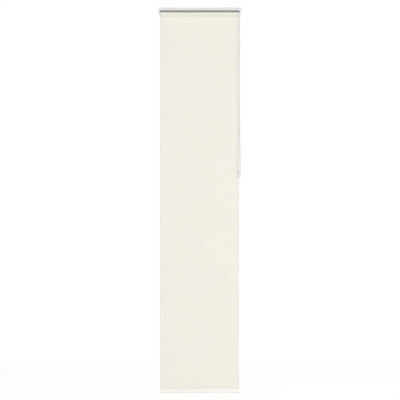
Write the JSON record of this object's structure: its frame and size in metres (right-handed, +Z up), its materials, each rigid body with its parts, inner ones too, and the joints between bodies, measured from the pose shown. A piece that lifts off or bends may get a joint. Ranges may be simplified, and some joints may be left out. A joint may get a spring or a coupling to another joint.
{
  "type": "blackout roller blind",
  "caption": "Roller blind with a slim top rail, a sheet that rolls on a tube turned by a bead chain clutch, a sprung idle pin and a weighted bottom bar.",
  "frame": {"origin": "on the ceiling plane, midway between the two ceiling screws and above the roller axis", "axes": "+Z up, front of the blind towards -Y, chain at the +X end"},
  "size_m": [0.5, 0.0464, 2.3],
  "materials": {
    "white_aluminium": "white powder coat",
    "ivory_aluminium": "warm white powder coat",
    "bare_aluminium": "mill finish",
    "cap_plastic": "fine satin, pale grey white",
    "white_plastic": "semi gloss white",
    "grey_plastic": "moulded grey",
    "spring_steel": "oiled spring steel",
    "zinc_steel": "zinc plated",
    "blackout_fabric": "coated blackout weave, ivory",
    "chain_plastic": "white bead chain",
    "connector_plastic": "pale grey"
  },
  "bodies": {
    "frame": {"head_rail": "white_aluminium", "mounting_clip_left": "spring_steel", "mounting_clip_right": "spring_steel", "end_cap_left": "cap_plastic", "end_cap_right": "cap_plastic", "cap_screws": "zinc_steel", "chain_guard": "white_plastic", "clutch_spindle": "grey_plastic", "spindle_retainer": "grey_plastic", "chain_loop": "chain_plastic", "chain_connector": "connector_plastic", "fabric_panel": "blackout_fabric"},
    "roller": {"roller_tube": "bare_aluminium", "fabric_strip": "grey_plastic", "fabric_roll": "blackout_fabric", "idle_plug": "white_plastic", "plug_ring": "white_plastic", "pin_spring": "spring_steel", "drive_sleeve": "grey_plastic", "chain_wheel": "white_plastic", "wrap_springs": "spring_steel", "chain_on_wheel": "chain_plastic"},
    "pin": {"idle_pin": "zinc_steel"},
    "bar": {"bottom_bar": "ivory_aluminium", "fabric_hem": "blackout_fabric", "hem_strip": "grey_plastic", "bar_cap_left": "cap_plastic", "bar_cap_right": "cap_plastic"}
  },
  "joints": [
    {"name": "bar_lift", "type": "slide", "parent": "frame", "child": "bar", "axis": [0, 0, 1], "range_m": [0, 2.1764], "deforming": ["fabric_panel"]},
    {"name": "roller_spin", "type": "hinge", "parent": "frame", "child": "roller", "pos_m": [0, 0, -0.0368], "axis": [1, 0, 0], "range_deg": [0, 7200]},
    {"name": "idle_pin_push", "type": "slide", "parent": "roller", "child": "pin", "axis": [1, 0, 0], "range_m": [0, 0.005], "stiffness_N_per_m": 800, "springref_m": -0.004, "deforming": ["pin_spring"]}
  ],
  "couplings": [
    {"joint": "roller_spin", "follows": "bar_lift", "rad_per_m": 57.739}
  ]
}
